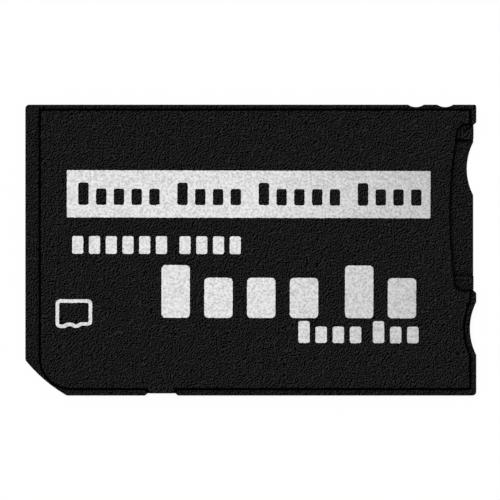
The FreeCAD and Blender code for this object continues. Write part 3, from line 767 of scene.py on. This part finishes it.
class DressBoard(bpy.types.Operator):
    """Gives the board, the chip, the small components and the contact carrier their materials."""

    bl_idname = "card_adapter.dress_board"
    bl_label = "Board and components"

    def execute(self, context):
        inside = looks().inside
        ceramic = inside.capacitor_dark, inside.capacitor_pale
        glaze = inside.resistor_dark, inside.resistor_pale
        chip_grain, carrier_grain = 0.06 * MM, 0.10 * MM
        fills = {
            "circuit_board": ("board_resist", board_resist),
            "controller_chip": (
                "chip_package", lambda finish: dark_moulding(finish, inside.chip_tone, chip_grain)),
            "contact_carrier": (
                "carrier_plastic", lambda finish: dark_moulding(finish, inside.carrier_tone, carrier_grain)),
            "capacitor": ("capacitor_ceramic", lambda finish: chip_part(finish, *ceramic)),
            "resistor": ("resistor_glaze", lambda finish: chip_part(finish, *glaze)),
        }
        for start, (name, fill) in fills.items():
            dress(nodes_named(start), material(name, fill))
        return {"FINISHED"}


class DressContacts(bpy.types.Operator):
    """Gives the lands and the leaf contacts their gold plating."""

    bl_idname = "card_adapter.dress_contacts"
    bl_label = "Contacts"

    def execute(self, context):
        inside = looks().inside
        fills = {
            "host_contact": ("gold_lands", lambda finish: gold_plate(finish, inside.land_wear)),
            "card_contact": ("gold_leaves", lambda finish: gold_plate(finish, inside.leaf_wear)),
        }
        for start, (name, fill) in fills.items():
            dress(nodes_named(start), material(name, fill))
        return {"FINISHED"}


class PrintBar(bpy.types.Operator):
    """Prints the white bar, with a row of dark blocks left bare in it."""

    bl_idname = "card_adapter.print_bar"
    bl_label = "Printed bar"

    def execute(self, context):
        bar = block(x=-12.65, y=2.22, length=24.98, height=3.24)
        bare = row_of_blocks(
            x=-11.87, y=3.08, groups=(5, 4, 5, 4), size=(0.72, 1.12), tall=1.54, gap=0.50, space=1.21)
        outlines = [rounded(bar, radius=0.05, steps=2)] + [rounded(corners, radius=0.14) for corners in bare]
        ink_piece("print_bar", outlines)
        return {"FINISHED"}


class PrintLines(bpy.types.Operator):
    """Prints the three rows of plain blocks under the bar."""

    bl_idname = "card_adapter.print_lines"
    bl_label = "Printed rows"

    def execute(self, context):
        upper = row_of_blocks(
            x=-12.27, y=-0.28, groups=(6, 4), size=(0.76, 1.22), tall=1.22, gap=0.39, space=0.86)
        large = row_of_blocks(
            x=-6.13, y=-4.66, groups=(4, 2), size=(1.95, 2.76), tall=3.62, gap=0.99, space=1.84)
        lower = row_of_blocks(
            x=3.28, y=-6.37, groups=(4, 3), size=(0.78, 1.13), tall=1.51, gap=0.40, space=0.80)
        ink_piece("print_row_upper", [rounded(corners, radius=0.12) for corners in upper])
        ink_piece("print_row_large", [rounded(corners, radius=0.28) for corners in large])
        ink_piece("print_row_lower", [rounded(corners, radius=0.14) for corners in lower])
        return {"FINISHED"}


class PrintMark(bpy.types.Operator):
    """Prints the outline of a small card beside the contact end."""

    bl_idname = "card_adapter.print_mark"
    bl_label = "Printed card outline"

    def execute(self, context):
        left, right, low, high = -13.40, -10.89, -5.38, -3.41
        stroke = 0.24
        # The lower side steps in twice, from left to right
        shallow, deep = low + 0.12, low + 0.16
        notch = [
            (-12.74, low), (-12.57, shallow), (-12.29, shallow), (-12.12, low), (-11.90, low), (-11.60, deep),
        ]
        corners = [(left, low), *notch, (right, deep), (right, high), (left, high)]
        outer = rounded(corners, radius=0.30, steps=4)
        inner = rounded(inset(corners, stroke), radius=0.09, steps=3)
        ink_piece("print_card_mark", [outer, inner])
        return {"FINISHED"}


# Gap between the underside and the floor, so that the two don't flicker
FLOOR_GAP = 0.001 * MM
# Upward part of a direction, 0 at the horizon and 1 straight up, at which the backdrop starts to
# darken and at which the ceiling is reached
BACKDROP_END, CEILING_START = 0.15, 0.6
# A sun lights alike from anywhere, so the lamp just stands clear of the adapter
LAMP_DISTANCE = 0.2
# What the camera sees starts and ends at these shares of its distance
NEAREST, FARTHEST = 0.05, 20


class SetStage(bpy.types.Operator):
    """Sets up the floor, the white surroundings, the lamp and the camera."""

    bl_idname = "card_adapter.set_stage"
    bl_label = "Floor, lamp and camera"

    def execute(self, context):
        studio = looks().studio
        context.scene.view_settings.view_transform = "Standard"
        self.floor(studio)
        self.surroundings(studio, context.scene)
        self.key_lamp(studio, context.scene)
        self.camera(studio, context.scene)
        return {"FINISHED"}

    def floor(self, studio):
        half = studio.floor_size / 2
        level = cad_box[0].z - FLOOR_GAP
        mesh = bpy.data.meshes.new("floor")
        corners = [(-half, -half, level), (half, -half, level), (half, half, level), (-half, half, level)]
        mesh.from_pydata(corners, [], [(0, 1, 2, 3)])
        mesh.materials.append(material("floor_paper", self.paper))
        floor = bpy.data.objects.new("floor", mesh)
        bpy.context.scene.collection.objects.link(floor)

    def paper(self, finish):
        """White paper that looks white to the camera and still takes the adapter's shadow."""
        studio = looks().studio
        paper = finish.node("ShaderNodeBsdfDiffuse", sockets={"Color": studio.paper})
        glow = finish.node("ShaderNodeEmission", sockets={"Color": (1, 1, 1), "Strength": 1.0})
        share = finish.seen_directly() * (1 - studio.floor_shadow)
        finish.end(finish.node("ShaderNodeMixShader", sockets={0: share, 1: paper, 2: glow}))

    def surroundings(self, studio, scene):
        """A white backdrop all round under a dark ceiling, and a dim even light from everywhere."""
        world = bpy.data.worlds.new("surroundings")
        world.use_nodes = True
        scene.world = world
        finish = Finish(world.node_tree)
        up = finish.axis(finish.node("ShaderNodeTexCoord", output="Generated"), "Z")
        mirrored = finish.ramp(up, BACKDROP_END, CEILING_START, studio.backdrop, studio.ceiling)
        camera = finish.node("ShaderNodeLightPath", output="Is Camera Ray")
        shiny = finish.seen_directly() - camera
        level = camera + shiny * mirrored + (1 - camera - shiny) * studio.room_light
        glow = finish.node("ShaderNodeBackground", sockets={"Color": (1, 1, 1), "Strength": level})
        finish.end(glow, "ShaderNodeOutputWorld")

    def key_lamp(self, studio, scene):
        """A soft sun at the upper left of the picture."""
        light = bpy.data.lights.new("key_lamp", "SUN")
        light.energy = studio.key_strength
        light.angle = studio.key_softness
        flat = math.cos(studio.key_height)
        bearing = studio.key_bearing
        towards = Vector((flat * math.cos(bearing), flat * math.sin(bearing), math.sin(studio.key_height)))
        lamp = bpy.data.objects.new("key_lamp", light)
        lamp.rotation_mode = "QUATERNION"
        lamp.rotation_quaternion = towards.to_track_quat("Z", "Y")
        lamp.location = towards * LAMP_DISTANCE
        scene.collection.objects.link(lamp)

    def camera(self, studio, scene):
        """Looks straight down, with +X to the right and +Y up in the picture."""
        data = bpy.data.cameras.new("camera")
        data.lens = studio.lens
        distance = studio.frame_width * data.lens / data.sensor_width
        data.clip_start = distance * NEAREST
        data.clip_end = distance * FARTHEST
        camera = bpy.data.objects.new("camera", data)
        rim_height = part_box("base_shell")[1].z
        camera.location = (studio.frame_x, studio.frame_y, rim_height + distance)
        scene.collection.objects.link(camera)
        scene.camera = camera


class CardAdapterPanel(bpy.types.Panel):
    """Lists the adapter's looks and steps."""

    bl_idname = "VIEW3D_PT_card_adapter"
    bl_label = "Card adapter"
    bl_space_type = "VIEW_3D"
    bl_region_type = "UI"
    bl_category = "Card adapter"

    def draw(self, context):
        values = context.scene.card_adapter
        for group in (values.plastic, values.ink, values.inside, values.studio):
            box = self.layout.box()
            for name in group.__annotations__:
                box.prop(group, name)
        for operator in OPERATORS:
            self.layout.operator(operator.bl_idname)


OPERATORS = (DressShells, DressBoard, DressContacts, PrintBar, PrintLines, PrintMark, SetStage)
GROUPS = (PlasticLooks, PrintLooks, InsideLooks, StudioLooks, CardAdapterLooks)
CLASSES = (*GROUPS, *OPERATORS, CardAdapterPanel)


def register():
    for item in CLASSES:
        bpy.utils.register_class(item)
    bpy.types.Scene.card_adapter = PointerProperty(type=CardAdapterLooks)


def unregister():
    del bpy.types.Scene.card_adapter
    for item in reversed(CLASSES):
        bpy.utils.unregister_class(item)


def main():
    register()
    bpy.ops.card_adapter.dress_shells()
    bpy.ops.card_adapter.dress_board()
    bpy.ops.card_adapter.dress_contacts()
    bpy.ops.card_adapter.print_bar()
    bpy.ops.card_adapter.print_lines()
    bpy.ops.card_adapter.print_mark()
    bpy.ops.card_adapter.set_stage()


if __name__ == "__main__":
    main()
